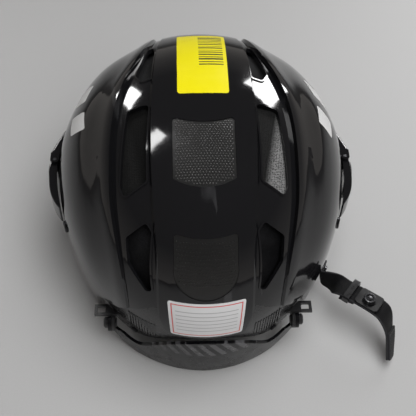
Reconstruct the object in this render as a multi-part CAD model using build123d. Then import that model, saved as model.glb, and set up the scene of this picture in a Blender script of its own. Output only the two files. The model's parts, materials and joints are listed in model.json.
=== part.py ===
from build123d import *
import os
from math import asin, cos, degrees, pi, radians, sin

os.makedirs("parts", exist_ok=True)

# An ice hockey helmet of adult medium size. It faces +Y, the wearer's right is +X,
# and it stands on the ground plane Z = 0 on its side lobes and its rear cradle.
# Every shell, liner and pad follows one dome: a fan of sections through the line
# that joins the ears. A place on it is a fan angle (0 ahead, 90 up, 180 behind)
# and either a distance across or a turn from the middle (90 at the ear).

# The dome
half_width = 109.0
fan_radius = 100.0
ear_ahead = 9.0
ear_height = 70.5
radius_shares = {-90: 2.1, -75: 2.0, -60: 1.84, -45: 1.6, -30: 1.41, -15: 1.28, 0: 1.235, 20: 1.2, 40: 1.125,
                 60: 1.045, 80: 0.988, 100: 0.985, 120: 1.06, 140: 1.185, 160: 1.325, 175: 1.383,
                 190: 1.4, 205: 1.43, 220: 1.53, 240: 1.8, 260: 2.0}
fullness_shares = {-90: 2.25, -40: 2.21, 0: 2.05, 50: 2.17, 90: 2.45, 130: 2.25, 180: 1.97, 260: 1.95}

# The main shell
wall = 2.6
channel_depth = 3.0
ridge_rise = 1.2
ridge_breadth = 9.0
step_run = 1.6
band_half = 35.0
ridge_half = 64.0
shell_length = 264.0
shell_height = 168.0
band_shares = {-90: 0.78, 0: 0.78, 25: 0.79, 40: 0.82, 50: 0.87, 60: 0.925, 72: 0.97, 82: 0.99, 100: 1.02,
               120: 1.01, 135: 0.985, 148: 0.93, 160: 0.9, 180: 0.9, 260: 0.85}
ridge_shares = {-90: 0.57, 0: 0.56, 25: 0.55, 40: 0.56, 50: 0.62, 60: 0.7, 70: 0.79, 80: 0.87, 90: 0.935,
                102: 0.98, 116: 1.0, 130: 1.0, 141: 0.985, 150: 0.945, 160: 0.895, 170: 0.862,
                180: 0.85, 260: 0.82}
depth_shares = {-90: 0.15, 0: 0.15, 30: 0.2, 45: 0.5, 60: 1.0, 140: 1.0, 150: 0.75, 158: 0.42, 166: 0.2, 260: 0.2}
last_turn = 87.0
# Side view of the shell's lower edge, as shares of the shell's length and height
edge_shares = ((0.575, 0.362), (0.394, 0.335), (0.32, 0.24), (0.277, 0.075), (0.243, 0),
               (0.165, 0), (0.136, 0.083), (0.108, 0.245), (0.03, 0.325), (-0.055, 0.27),
               (-0.106, 0.11), (-0.142, 0), (-0.235, 0), (-0.268, 0.107), (-0.32, 0.3),
               (-0.401, 0.405), (-0.434, 0.476), (-0.464, 0.575), (-0.53, 0.72), (-0.6, 0.72),
               (-0.6, -1), (0.575, -1))
edge_round = 7.0
tongue_top = 100.0
tongue_foot = 64.5
tongue_foot_half = 27.0
tongue_round = 3.0
overrun = 12.0

# Vents and their beads: fan angle and share of the ridge's half distance
front_vent_shares = ((47.5, 0.57), (60, 0.54), (79.5, 0.575), (80.5, 0.69), (75.5, 0.75), (60, 0.66))
mid_vent_shares = ((96.3, 0.595), (96.3, 0.68), (98.3, 0.83), (132.5, 0.89), (135.8, 0.845), (130, 0.613))
rear_vent_shares = ((144.3, 0.625), (150, 0.835), (158.5, 0.81), (166, 0.63), (165.5, 0.567), (147, 0.565))
vent_round = 2.4
bead_width = 1.3
bead_rise = 0.9

# Textured plates let into the centre band
plate_half = 21.2
plate_thick = 1.2
plate_sunk = 0.5
plate_gap = 0.15
plate_round = 2.5

# Rear base shell and its guides
base_gap = 0.9
base_thick = 2.1
base_screw_across = 53.5
base_screw_angle = 199.0
rib_pitch = 2.0
rib_width = 0.9
rib_rise = 0.5
rib_count = 10
rib_first = 36.0
rib_low = 40.0
rib_high = 64.0
# Side view of the base, as shares of the shell's length and height
base_side_shares = ((-0.55, 0.56), (-0.33, 0.56), (-0.27, 0.51), (-0.09, 0.51), (-0.078, 0.455),
                    (-0.09, 0.4), (-0.235, 0.385), (-0.275, 0.25), (-0.3, 0.13), (-0.55, 0.13))
# Rear view of the base's rim and of the cradle's edges: shares of the half width and the height
base_rim_shares = ((-0.57, 0.12), (-0.47, 0.145), (-0.37, 0.205), (-0.22, 0.3), (0, 0.345),
                   (0.22, 0.3), (0.37, 0.205), (0.47, 0.145), (0.57, 0.12))
adjust_travel = 6.0
stud_angle = 173.5
stud_across = 101.4
stud_radius = 2.0
stud_clear = 0.25
stud_head = 4.5
stud_head_thick = 1.6

# Occipital cradle and its pivots
cradle_thick = 2.4
cradle_shares = {176: -0.005, 190: 0.005, 200: 0.03, 208: 0.05, 220: 0.06}
cradle_top_shares = ((-0.65, 0.19), (-0.58, 0.16), (-0.47, 0.13), (-0.37, 0.192), (-0.22, 0.288), (0, 0.333),
                     (0.22, 0.288), (0.37, 0.192), (0.47, 0.13), (0.58, 0.16), (0.65, 0.19))
cradle_foot_shares = ((0.65, 0.1), (0.58, 0.05), (0.48, 0), (-0.48, 0), (-0.58, 0.05), (-0.65, 0.1))
pivot_back = -96.5
pivot_height = 30.0
lug_plane = 66.2
lug_thick = 2.4
lug_radius = 6.5
pin_radius = 2.0
pin_clear = 0.06
pin_head = 4.2
pin_head_thick = 3.0

# Side latches
latch_height = 78.0
latch_tall = 18.0
latch_front = 20.0
latch_back = -31.0
latch_out = 116.5
latch_thick = 4.5
latch_barrel = 3.4
latch_pin = 1.3
lip_front = 64.0
ear_disc = 17.0
latch_gap = 0.5

# Foam liners and pads
liner_gap = 0.4
liner_thick = 12.0
pad_thick = 6.0
pad_gap = 0.6

# Nuts for a visor or cage: fan angle and share of the half width
temple_nut_shares = ((-8, 0.812), (-26, 0.922))
forehead_nut_share = 0.2
forehead_nut_angle = 13.0
nut_bore = 2.1
nut_hole_radius = 2.6
nut_flange = 5.5
nut_thick = 2.0
nut_gap = 1.0
nut_fit = 0.05

# Chin strap on the wearer's right, with its screw, keeper and snap
strap_angle = 219.0
strap_across = 94.0
strap_wide = 16.0
strap_thick = 1.8
screw_radius = 2.5
strap_lift = 1.1
screw_head = 5.0
screw_head_thick = 1.5
snap_radius = 4.6
snap_tall = 2.6
snap_plate_thick = 2.6
snap_plate_long = 19.0
slider_long = 5.0
slider_bar = 1.8
slider_gap = 0.45
# Route of the webbing from the screw, as shares of the half width; the last share tells how far it
# has turned from lying on the shell to lying flat
root_route_shares = ((0.9, -0.565, 0.262, 0.25), (0.943, -0.613, 0.293, 0.65), (0.99, -0.652, 0.314, 1))
run_end_shares = (1.226, -0.835, 0.323)
tail_route_shares = ((1.272, -0.882, 0.285), (1.3, -0.95, 0.19), (1.302, -1.03, 0.09), (1.3, -1.08, 0.045))
anchor_half = 9.0

# Side loops
loop_width = 9.0
loop_bar = 2.0
loop_hole = 6.0
loop_thick = 2.4
loop_height = 37.0
loop_back = -86.3
loop_root = 62.0
loop_reach = 81.0

# Fitting
seat_gap = 0.3


def smooth_value(table, angle):
    # A cubic curve through the table whose slope at each entry looks both ways
    keys = sorted(table)
    values = [table[key] for key in keys]
    last = len(keys) - 1
    at = max(0, min(last - 1, sum(key <= angle for key in keys) - 1))

    def slope(i):
        low, high = max(i - 1, 0), min(i + 1, last)
        return (values[high] - values[low]) / (keys[high] - keys[low])

    span = keys[at + 1] - keys[at]
    t = (angle - keys[at]) / span
    start = (1 + 2 * t) * (1 - t) ** 2 * values[at] + t * (1 - t) ** 2 * span * slope(at)
    end = t * t * (3 - 2 * t) * values[at + 1] + t * t * (t - 1) * span * slope(at + 1)
    return start + end


def fan_point(angle, turn, grow=0):
    # The dome at a fan angle and a turn from the middle, grown outwards
    power = 2 / smooth_value(fullness_shares, angle)
    reach = fan_radius * smooth_value(radius_shares, angle) + grow
    side = abs(sin(radians(turn))) ** power * (half_width + grow)
    out = abs(cos(radians(turn))) ** power * reach
    across = side if turn >= 0 else -side
    return Vector(across, ear_ahead + out * cos(radians(angle)), ear_height + out * sin(radians(angle)))


def turn_at(angle, across, grow=0):
    # The turn that lies a given distance across
    power = smooth_value(fullness_shares, angle) / 2
    share = min(1, abs(across) / (half_width + grow))
    turn = degrees(asin(share ** power))
    return turn if across >= 0 else -turn


def dome_point(angle, across, grow=0):
    return fan_point(angle, turn_at(angle, across, grow), grow)


def dome_plane(angle, across):
    # A plane that touches the dome, with X across and Z outwards
    here = dome_point(angle, across)
    ahead = dome_point(angle - 1, across) - dome_point(angle + 1, across)
    aside = fan_point(angle, turn_at(angle, across) + 1) - fan_point(angle, turn_at(angle, across) - 1)
    return Plane(origin=here, x_dir=aside, z_dir=aside.cross(ahead))


def run(angle, turns, grows):
    # A spline along one section, through turns with their growths
    return Spline([fan_point(angle, turn, grow) for turn, grow in zip(turns, grows)])


def even(first, last, count):
    return [first + (last - first) * i / (count - 1) for i in range(count)]


def section_places(angle):
    band = band_half * smooth_value(band_shares, angle)
    ridge = ridge_half * smooth_value(ridge_shares, angle)
    return band, ridge, channel_depth * smooth_value(depth_shares, angle)


def half_profile(angle, side, shift, drop):
    # One half of a section from the band's edge to the ear: wall, channel, wall, panel.
    # The inner profile is the same line, shifted along by the wall and dropped by it.
    band, ridge, depth = section_places(angle)
    band_edge = turn_at(angle, band - shift, -drop)
    foot = turn_at(angle, band - shift + step_run, -depth - drop)
    far_foot = turn_at(angle, ridge + shift - step_run, -depth - drop)
    crest = turn_at(angle, ridge + shift, ridge_rise - drop)
    calm = turn_at(angle, ridge + shift + ridge_breadth, -drop)
    crest_rise = ridge_rise if not shift else 0
    panel_turns = [crest, (crest + calm) / 2, calm] + even(calm, last_turn, 5)[1:]
    panel_grows = [crest_rise - drop, crest_rise * 0.75 - drop] + [-drop] * 5
    edges = [Line(fan_point(angle, side * band_edge, -drop), fan_point(angle, side * foot, -depth - drop)),
             run(angle, [side * t for t in even(foot, far_foot, 3)], [-depth - drop] * 3),
             Line(fan_point(angle, side * far_foot, -depth - drop), fan_point(angle, side * crest, crest_rise - drop)),
             run(angle, [side * t for t in panel_turns], panel_grows)]
    return edges, band_edge


def shell_section(angle):
    # A closed wire: outside from left to right, then inside from right to left
    right_out, edge_out = half_profile(angle, 1, 0, 0)
    left_out, _ = half_profile(angle, -1, 0, 0)
    right_in, edge_in = half_profile(angle, 1, wall, wall)
    left_in, _ = half_profile(angle, -1, wall, wall)
    top = run(angle, even(-edge_out, edge_out, 5), [0] * 5)
    under = run(angle, even(edge_in, -edge_in, 5), [-wall] * 5)
    right_end = Line(fan_point(angle, last_turn, 0), fan_point(angle, last_turn, -wall))
    left_end = Line(fan_point(angle, -last_turn, -wall), fan_point(angle, -last_turn, 0))
    return Wire([*left_out[::-1], top, *right_out, right_end, *right_in[::-1], under, *left_in, left_end])


def shell_dome():
    return Solid.make_loft([shell_section(angle) for angle in even(-82, 248, 31)])


def slab(angles, turns_of, inner_of, outer_of, count=5):
    # A curved plate between two growths of the dome; each limit is a function of the fan angle
    wires = []
    for angle in angles:
        low, high = turns_of(angle)
        inner, outer = inner_of(angle), outer_of(angle)
        out = run(angle, even(low, high, count), [outer] * count)
        back = run(angle, even(high, low, count), [inner] * count)
        wires.append(Wire([out, Line(fan_point(angle, high, outer), fan_point(angle, high, inner)),
                           back, Line(fan_point(angle, low, inner), fan_point(angle, low, outer))]))
    return Solid.make_loft(wires)


def always(value):
    return lambda angle: value


def prism(places, angle, across, round_by, out, back, widen=0):
    # An outline through places of the dome, drawn on a plane that touches it and extruded both ways
    plane = dome_plane(angle, across)
    flat = [plane.to_local_coords(dome_point(*place)) for place in places]
    face = make_face(Polyline([(p.X, p.Y) for p in flat], close=True))
    face = fillet(face.vertices(), round_by)
    if widen:
        face = offset(face, widen)
    solid = extrude(face, out) + extrude(face, -back)
    return plane * solid


def vent_places(shares):
    return [(angle, share * ridge_half) for angle, share in shares]


def flat_places(shares, wide, tall):
    return [(y * wide, z * tall) for y, z in shares]


def rear_tongue():
    # The band runs on below the step as a tongue
    half = band_half * smooth_value(band_shares, 170) + step_run
    outline = Polyline([(-half, tongue_top), (half, tongue_top), (half, tongue_top - overrun),
                        (tongue_foot_half, tongue_foot), (-tongue_foot_half, tongue_foot),
                        (-half, tongue_top - overrun)], close=True)
    face = make_face(outline)
    face = fillet(face.vertices().sort_by(Axis.Y)[:2], tongue_round)
    return Plane.XZ.offset(shell_length / 3) * extrude(face, shell_length / 3)


def edge_cutter():
    outline = make_face(Polyline(flat_places(edge_shares, shell_length, shell_height), close=True))
    outline = fillet(outline.vertices(), edge_round)
    half = half_width + overrun
    return Plane.YZ.offset(-half) * extrude(outline, 2 * half) - rear_tongue()


def channel_level(angle):
    return -channel_depth * smooth_value(depth_shares, angle)


def beads():
    # Thin raised beads round the three vents of the right channel
    def turns(angle):
        band, ridge, _ = section_places(angle)
        return turn_at(angle, band + step_run), turn_at(angle, ridge - step_run / 2)
    skin = slab(even(42, 170, 14), turns, lambda a: channel_level(a) - wall / 2,
                lambda a: channel_level(a) + bead_rise, 3)
    rings = [prism(*vent, overrun, overrun, bead_width) for vent in vents()]
    found = skin & rings[0]
    for ring in rings[1:]:
        found = found + (skin & ring)
    return found


def vents():
    across = ridge_half * 0.7
    return [(vent_places(front_vent_shares), 64, across, vent_round),
            (vent_places(mid_vent_shares), 116, across, vent_round),
            (vent_places(rear_vent_shares), 155, across, vent_round)]


def plate_prism(upper, widen):
    # Outline of a textured plate: a sagging top edge, straight sides and a rounded foot
    first, sag, sides, foot = (104.5, 107, 129.5, 132.5) if upper else (146.5, 148, 156, 166.5)
    plane = dome_plane((first + foot) / 2, 0)

    def place(angle, across):
        flat = plane.to_local_coords(dome_point(angle, across))
        return flat.X, flat.Y
    edges = [ThreePointArc(place(first, -plate_half), place(sag, 0), place(first, plate_half)),
             Line(place(first, plate_half), place(sides, plate_half)),
             ThreePointArc(place(sides, plate_half), place(foot, 0), place(sides, -plate_half)),
             Line(place(sides, -plate_half), place(first, -plate_half))]
    face = make_face(edges)
    face = fillet(face.vertices(), plate_round)
    if widen:
        face = offset(face, widen)
    return plane * extrude(face, overrun, both=True)


def plate_blank(upper, widen, above):
    angles = even(100, 136, 5) if upper else even(142, 172, 5)
    turns = always((-turn_at(120, plate_half + overrun / 2), turn_at(120, plate_half + overrun / 2)))
    blank = slab(angles, turns, always(-plate_sunk - plate_thick - above), always(above * overrun - plate_sunk))
    return blank & plate_prism(upper, widen)


def side_lip():
    # The flared lip at the right side, with two lugs that carry the latch's pin
    low, high = latch_height - latch_tall / 2 - loop_bar, latch_height + latch_tall / 2 + loop_bar
    pin_x, pin_y = latch_pin_place()
    back = pin_y + latch_barrel + 2 * latch_gap + latch_pin
    outer = Spline([(half_width * 0.9, lip_front), (half_width * 0.975, lip_front * 0.72),
                    (half_width * 1.03, lip_front * 0.5), (latch_out, back)])
    inner = Spline([(half_width * 0.982, back), (half_width * 0.952, lip_front * 0.66),
                    (half_width * 0.89, lip_front * 0.98)])
    face = make_face([outer, Line((latch_out, back), (half_width * 0.982, back)), inner,
                      Line((half_width * 0.89, lip_front * 0.98), (half_width * 0.9, lip_front))])
    lip = Plane.XY.offset(low) * extrude(face, high - low)
    lip = fillet(lip.edges().filter_by_position(Axis.X, half_width * 0.97, latch_out * 2)
                 .filter_by(GeomType.BSPLINE), latch_pin)
    lug = Plane.XY.offset(low) * (Pos(pin_x, pin_y) * extrude(Circle(latch_barrel), loop_bar)
                                  + Pos(pin_x, (pin_y + back) / 2)
                                  * extrude(Rectangle(2 * latch_barrel, back - pin_y + loop_bar), loop_bar))
    lug = lug - Pos(pin_x, pin_y, low) * Cylinder(latch_pin + pin_clear, 2 * overrun)
    return lip + lug + Pos(0, 0, high - low - loop_bar) * lug


def latch_pin_place():
    return half_width + latch_barrel + latch_gap, latch_front - latch_barrel * 1.6


def latch():
    pin_x, pin_y = latch_pin_place()
    tip = (half_width * 0.975, latch_back)
    outer = Spline([(pin_x, pin_y + latch_barrel), (pin_x + latch_barrel * 0.94, pin_y - latch_barrel * 0.3),
                    (latch_out, 0), (latch_out - latch_barrel * 0.7, latch_back * 0.5), tip])
    inner = Spline([(half_width * 0.962, latch_back), (half_width * 0.993, latch_back * 0.47),
                    (half_width * 1.01, 0), (pin_x - latch_barrel * 0.65, pin_y - latch_barrel * 0.75)])
    face = make_face([outer, Line(tip, (half_width * 0.962, latch_back)), inner,
                      Line((pin_x - latch_barrel * 0.65, pin_y - latch_barrel * 0.75), (pin_x, pin_y + latch_barrel))])
    face = face + Pos(pin_x, pin_y) * Circle(latch_barrel)
    tall = latch_tall - 2 * seat_gap
    body = Plane.XY.offset(latch_height - tall / 2) * extrude(face, tall)
    outline = body.edges().filter_by(GeomType.BSPLINE).filter_by_position(Axis.X, half_width * 1.0, latch_out * 2)
    body = fillet(outline, latch_pin * 0.8)
    return body - Pos(pin_x, pin_y, latch_height) * Cylinder(latch_pin + pin_clear, 2 * latch_tall)


def latch_hinge_pin():
    pin_x, pin_y = latch_pin_place()
    return Pos(pin_x, pin_y, latch_height) * Cylinder(latch_pin, latch_tall + 2 * loop_bar)


def on_dome(angle, across, grow, shape):
    # A shape drawn about Z, stood on the dome
    plane = dome_plane(angle, across)
    return plane * (Pos(0, 0, grow) * shape)


def nut_places():
    places = [(angle, share * half_width) for angle, share in temple_nut_shares]
    return places + [(forehead_nut_angle, forehead_nut_share * half_width)]


def nut_hole(angle, across):
    return on_dome(angle, across, 0, Cylinder(nut_hole_radius, 2 * overrun))


def nut(angle, across):
    # A round nut plate behind the shell
    plate = Cylinder(nut_flange, nut_thick) - Cylinder(nut_bore, overrun)
    return on_dome(angle, across, -wall - nut_gap - nut_thick / 2, plate)


def main_shell():
    disc = Plane.YZ.offset(half_width - wall) * (Pos(ear_ahead, ear_height) * extrude(Circle(ear_disc), wall * 0.9))
    extras = disc + side_lip() + beads()
    tools = [edge_cutter()]
    for vent in vents():
        hole = prism(*vent, overrun, overrun)
        tools += [hole, mirror(hole, Plane.YZ)]
    for upper in (True, False):
        tools.append(plate_blank(upper, 0, plate_gap))
    for place in nut_places():
        hole = nut_hole(*place)
        tools += [hole, mirror(hole, Plane.YZ)]
    stud_hole = on_dome(stud_angle, stud_across, 0, Cylinder(stud_radius + nut_fit, 2 * overrun))
    tools += [stud_hole, mirror(stud_hole, Plane.YZ)]
    tools.append(on_dome(strap_angle, strap_across, 0, Cylinder(screw_radius + nut_fit, 2 * overrun)))
    shell = shell_dome() + extras + mirror(extras, Plane.YZ)
    return shell - tools


def base_skin(inner, outer=-wall - base_gap):
    return slab(even(150, 232, 11), always((-78, 78)), always(inner), always(outer), 13)


def rear_base():
    outer = -wall - base_gap
    base = base_skin(outer - base_thick)
    side = fillet(make_face(Polyline(flat_places(base_side_shares, shell_length, shell_height), close=True))
                  .vertices(), stud_head)
    base = base & (Plane.YZ.offset(-half_width) * extrude(side, 2 * half_width))
    rim = flat_places(base_rim_shares, half_width, shell_height)
    first, last = rim[0], rim[-1]
    below = make_face([Spline(rim), Line(last, (last[0], -overrun)), Line((last[0], -overrun), (first[0], -overrun)),
                       Line((first[0], -overrun), first)])
    low = Plane.XZ.offset(-pivot_back - lug_radius * 1.5) * extrude(below, shell_length / 2)
    lines = [Pos(rib_first + i * rib_pitch, (rib_low + rib_high) / 2) * Rectangle(rib_width, rib_high - rib_low)
             for i in range(rib_count)]
    bars = Plane.XZ.offset(shell_length / 4) * extrude(Sketch() + lines, shell_length / 3)
    skin = slab(even(176, 202, 4), always((15, 40)), always(outer - rib_rise), always(outer + rib_rise), 3)
    ribs = bars & skin
    lug = base_lug()
    slot = on_dome(stud_angle, stud_across, 0, guide_slot())
    hole = on_dome(base_screw_angle, base_screw_across, 0, Cylinder(pin_radius * 0.75, 2 * overrun))
    base = base - low + ribs + mirror(ribs, Plane.YZ) + lug + mirror(lug, Plane.YZ)
    return base - [slot, mirror(slot, Plane.YZ), hole, mirror(hole, Plane.YZ)]


def guide_slot():
    # A slot that runs back from the stud by the travel, drawn about the stud
    plane = dome_plane(stud_angle, stud_across)
    back = plane.to_local_coords(plane.origin + Vector(0, -adjust_travel, 0))
    radius = stud_radius + stud_clear
    ends = [(0, 0), (back.X, back.Y)]
    track = make_face(SlotCenterToCenter(Vector(*ends[1]).length, 2 * radius).edges())
    middle = Vector(*ends[1]) / 2
    turn = degrees(Vector(1, 0).get_signed_angle(Vector(*ends[1]), Vector(0, 0, 1)) * pi / 180)
    return extrude(Pos(middle.X, middle.Y) * Rot(0, 0, turn) * track, 2 * overrun, both=True)


def base_lug():
    disc = extrude(Pos(pivot_back, pivot_height) * Circle(lug_radius), lug_thick)
    arm = extrude(Pos(pivot_back + lug_radius, pivot_height) * Rectangle(2 * lug_radius, 1.6 * lug_radius), lug_thick)
    lug = Plane.YZ.offset(lug_plane) * (disc + arm)
    return lug - pivot_hole()


def pivot_hole():
    return Plane.YZ * (Pos(pivot_back, pivot_height) * extrude(Circle(pin_radius + pin_clear), half_width))


def cradle_level(angle):
    return smooth_value(cradle_shares, angle) * fan_radius


def cradle():
    strip = slab(even(178, 220, 8), always((-46, 46)), lambda a: cradle_level(a) - cradle_thick, cradle_level, 9)
    top = flat_places(cradle_top_shares, half_width, shell_height)
    foot = flat_places(cradle_foot_shares, half_width, shell_height)
    outline = make_face([Spline(top), Polyline([top[-1], *foot, top[0]])])
    strip = strip & (Plane.XZ.offset(-pivot_back - 2 * lug_radius) * extrude(outline, shell_length / 2))
    plane = lug_plane + lug_thick + seat_gap
    boss = Plane.YZ * (Pos(pivot_back, pivot_height) * extrude(Circle(lug_radius + 2 * seat_gap), plane))
    knob = Plane.YZ.offset(plane + lug_thick) * (Pos(pivot_back, pivot_height)
                                                 * extrude(Circle(pin_head + 2 * seat_gap), overrun))
    strip = strip - [boss, knob, mirror(boss, Plane.YZ), mirror(knob, Plane.YZ)]
    disc = extrude(Pos(pivot_back, pivot_height) * Circle(lug_radius), lug_thick)
    lug = Plane.YZ.offset(plane) * disc
    strip = strip + lug + mirror(lug, Plane.YZ)
    hole = pivot_hole()
    return strip - [hole, mirror(hole, Plane.YZ)]


def pivot_pin():
    # A shouldered rivet: round knob outside, shank, small head inside
    inside = lug_plane - seat_gap
    outside = lug_plane + 2 * lug_thick + 2 * seat_gap
    shank = Pos(pivot_back, pivot_height) * extrude(Circle(pin_radius), outside - inside)
    knob = Pos(pivot_back, pivot_height, outside - inside) * extrude(Circle(pin_head), pin_head_thick)
    tail_thick = pin_clear * 10 + seat_gap
    tail = Pos(pivot_back, pivot_height, -tail_thick) * extrude(Circle(pin_head * 0.8), tail_thick)
    knob = chamfer(knob.edges().group_by(Axis.Z)[-1], pin_head_thick * 0.3)
    return Plane.YZ.offset(inside) * (shank + knob + tail)


def guide_stud():
    head = Pos(0, 0, stud_head_thick / 2) * Cylinder(stud_head, stud_head_thick)
    head = chamfer(head.edges().group_by(Axis.Z)[-1], stud_head_thick * 0.4)
    length = wall + base_gap + base_thick
    shank = Pos(0, 0, -length / 2) * Cylinder(stud_radius, length)
    return on_dome(stud_angle, stud_across, 0, head + shank)


def base_screw():
    length = base_thick
    outer = -wall - base_gap
    head = Pos(0, 0, outer + seat_gap + screw_head_thick / 2) * Cylinder(pin_radius * 1.4, screw_head_thick)
    head = chamfer(head.edges().group_by(Axis.Z)[-1], screw_head_thick * 0.4)
    shank = Pos(0, 0, outer + seat_gap - length / 2) * Cylinder(pin_radius * 0.75 - nut_fit, length)
    return on_dome(base_screw_angle, base_screw_across, 0, head + shank)


def side_loop():
    # A square loop for a strap, its root shaped to the base
    length = loop_reach - loop_root
    hole = Pos(length / 2 - loop_bar - loop_hole / 2, 0) * Rectangle(loop_hole, loop_width - 2 * loop_bar)
    ring = Rectangle(length, loop_width) - hole
    loop = Pos(loop_root + length / 2, loop_back - loop_width / 2, loop_height) * extrude(ring, loop_thick)
    return loop - base_skin(-4 * overrun, seat_gap - wall - base_gap)


def foam(angles, turns_of, count=9, sunk=0):
    # A moulded foam block under the shell
    outer = -wall - channel_depth - liner_gap - sunk
    return slab(angles, turns_of, always(outer - liner_thick), always(outer), count)


def side_foam():
    # The right block: over the temple in front, then up to the crown block
    def turns(angle):
        return smooth_value({2: 54, 40: 54, 50: 38, 118: 38}, angle), smooth_value({2: 80, 30: 81, 118: 78}, angle)
    return foam(even(2, 118, 16), turns, 9, seat_gap - channel_depth - liner_gap)


def rear_foam():
    return foam(even(131, 186, 11), always((-66, 66)), 15, liner_gap)


def cushion(angles, turns_of, top_of, thick):
    # A soft pad: flat back, crowned face, sides that draw in
    swell_shares = (0.45, 0.86, 1, 1, 1, 0.86, 0.45)
    wires = []
    for i, angle in enumerate(angles):
        low, high = turns_of(angle)
        end = min(i, len(angles) - 1 - i)
        tall = thick * (0.5, 0.9, 1)[min(end, 2)]
        top = top_of(angle)
        levels = [top - tall * share for share in swell_shares]
        places = even(low, high, len(swell_shares))
        back = run(angle, places, [top] * len(places))
        face = run(angle, places[::-1], levels)
        wires.append(Wire([back, Line(fan_point(angle, high, top), fan_point(angle, high, levels[0])),
                           face, Line(fan_point(angle, low, levels[-1]), fan_point(angle, low, top))]))
    return Solid.make_loft(wires)


def pad_top(deep):
    # The level of a pad's back, under a block that lies this deep below the wall
    return always(-wall - deep - liner_thick - pad_gap)


def temple_pad():
    return cushion(even(6, 36, 7), always((56, 76)), pad_top(seat_gap), pad_thick)


def rear_pad():
    # It reaches forward under the gap that the slide needs behind the crown block
    top = pad_top(channel_depth + 2 * liner_gap + seat_gap)
    return cushion(even(119, 150, 7), always((-33, 33)), top, pad_thick * 0.8)


def cradle_pad():
    def turns(angle):
        half = smooth_value({191: 10, 197: 21, 206: 25}, angle)
        return -half, half
    return cushion(even(191, 206, 7), turns, lambda a: cradle_level(a) - cradle_thick - seat_gap, pad_thick)


def nuts(first, last):
    found = Part() + [nut(*place) for place in nut_places()[first:last]]
    return found + mirror(found, Plane.YZ)


def strap_frame():
    # At the strap's screw: origin on the shell, outward, along the strap and across it
    plane = dome_plane(strap_angle, strap_across)
    out = plane.z_dir
    along = Vector(0, -1, 0.25)
    along = (along - out * along.dot(out)).normalized()
    return plane.origin, out, along, out.cross(along)


def webbing(centre, ahead, across, thick=strap_thick):
    across = (across - ahead * across.dot(ahead)).normalized()
    plane = Plane(origin=centre, x_dir=across, z_dir=ahead)
    return (plane * Rectangle(strap_wide, thick)).face().outer_wire()


def spot(shares):
    return Vector(*[share * half_width for share in shares[:3]])


def run_frame():
    start, end = spot(root_route_shares[-1]), spot(run_end_shares)
    ahead = (end - start).normalized()
    return start, end, ahead, Vector(0, 0, 1).cross(ahead).normalized()


def strap_root():
    # Webbing that lies on the shell at its screw, then turns flat towards the buckle
    origin, out, along, across = strap_frame()
    start, _, ahead, flat = run_frame()
    centre = origin + out * (strap_lift + strap_thick / 2)
    patch = [(centre - along * anchor_half, along, across), (centre + along * anchor_half, along, across)]
    stops = patch
    places = [centre + along * anchor_half] + [spot(shares) for shares in root_route_shares]
    for i, shares in enumerate(root_route_shares[:-1], 1):
        turned = across * (1 - shares[3]) - flat * shares[3]
        stops.append((places[i], (places[i + 1] - places[i - 1]).normalized(), turned))
    stops.append((start, ahead, flat * -1))
    strap = Solid.make_loft([webbing(*stop) for stop in stops], ruled=True)
    hole = Plane(origin=origin, x_dir=along, z_dir=out) * Cylinder(screw_radius + pin_clear, overrun)
    return strap - hole


def strap_run():
    start, end, ahead, flat = run_frame()
    return Solid.make_loft([webbing(start, ahead, flat * -1), webbing(end, ahead, flat * -1)])


def strap_tail():
    # The free end droops to the ground and turns on its edge
    _, end, ahead, flat = run_frame()
    places = [end] + [spot(shares) for shares in tail_route_shares]
    stops = [(end, ahead, flat * -1)]
    for i in range(1, len(places)):
        after = places[min(i + 1, len(places) - 1)]
        stops.append((places[i], (after - places[i - 1]).normalized(), flat * -1))
    return Solid.make_loft([webbing(*stop) for stop in stops])


def strap_slider():
    # A keeper ring round the webbing
    start, end, ahead, flat = run_frame()
    hole = Rectangle(strap_wide + 2 * slider_gap, strap_thick + 2 * slider_gap)
    ring = Rectangle(strap_wide + 2 * slider_gap + 2 * slider_bar, strap_thick + 2 * slider_gap + 2 * slider_bar)
    ring = fillet(ring.vertices(), slider_bar * 0.7) - hole
    return Plane(origin=start + ahead * slider_long, x_dir=flat, z_dir=ahead) * extrude(ring, slider_long)


def snap_plate():
    # Moulded plate on top of the webbing's end, with a round boss for the snap
    start, end, ahead, flat = run_frame()
    up = ahead.cross(flat)
    up = up if up.Z > 0 else up * -1
    base = end - ahead * (snap_plate_long / 2) + up * (strap_thick / 2)
    plate = RectangleRounded(snap_plate_long, strap_wide * 0.9, snap_plate_thick)
    return Plane(origin=base, x_dir=ahead, z_dir=up) * (
        extrude(plate, snap_plate_thick * 0.6) + extrude(Circle(snap_radius * 1.15), snap_plate_thick))


def snap_cap():
    start, end, ahead, flat = run_frame()
    up = ahead.cross(flat)
    up = up if up.Z > 0 else up * -1
    base = end - ahead * (snap_plate_long / 2) + up * (strap_thick / 2 + snap_plate_thick)
    cap = extrude(Circle(snap_radius), snap_tall * 0.5)
    cap = chamfer(cap.edges().group_by(Axis.Z)[-1], snap_tall * 0.2)
    return Plane(origin=base, x_dir=ahead, z_dir=up) * cap


def strap_screw():
    origin, out, along, _ = strap_frame()
    head = Pos(0, 0, strap_lift + strap_thick + seat_gap) * extrude(Circle(screw_head), screw_head_thick)
    head = chamfer(head.edges().group_by(Axis.Z)[-1], screw_head_thick * 0.4)
    shank = Pos(0, 0, -wall) * extrude(Circle(screw_radius), wall + strap_lift + strap_thick + seat_gap)
    return Plane(origin=origin, x_dir=along, z_dir=out) * (head + shank)


def pair(shape):
    return shape + mirror(shape, Plane.YZ)


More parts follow.
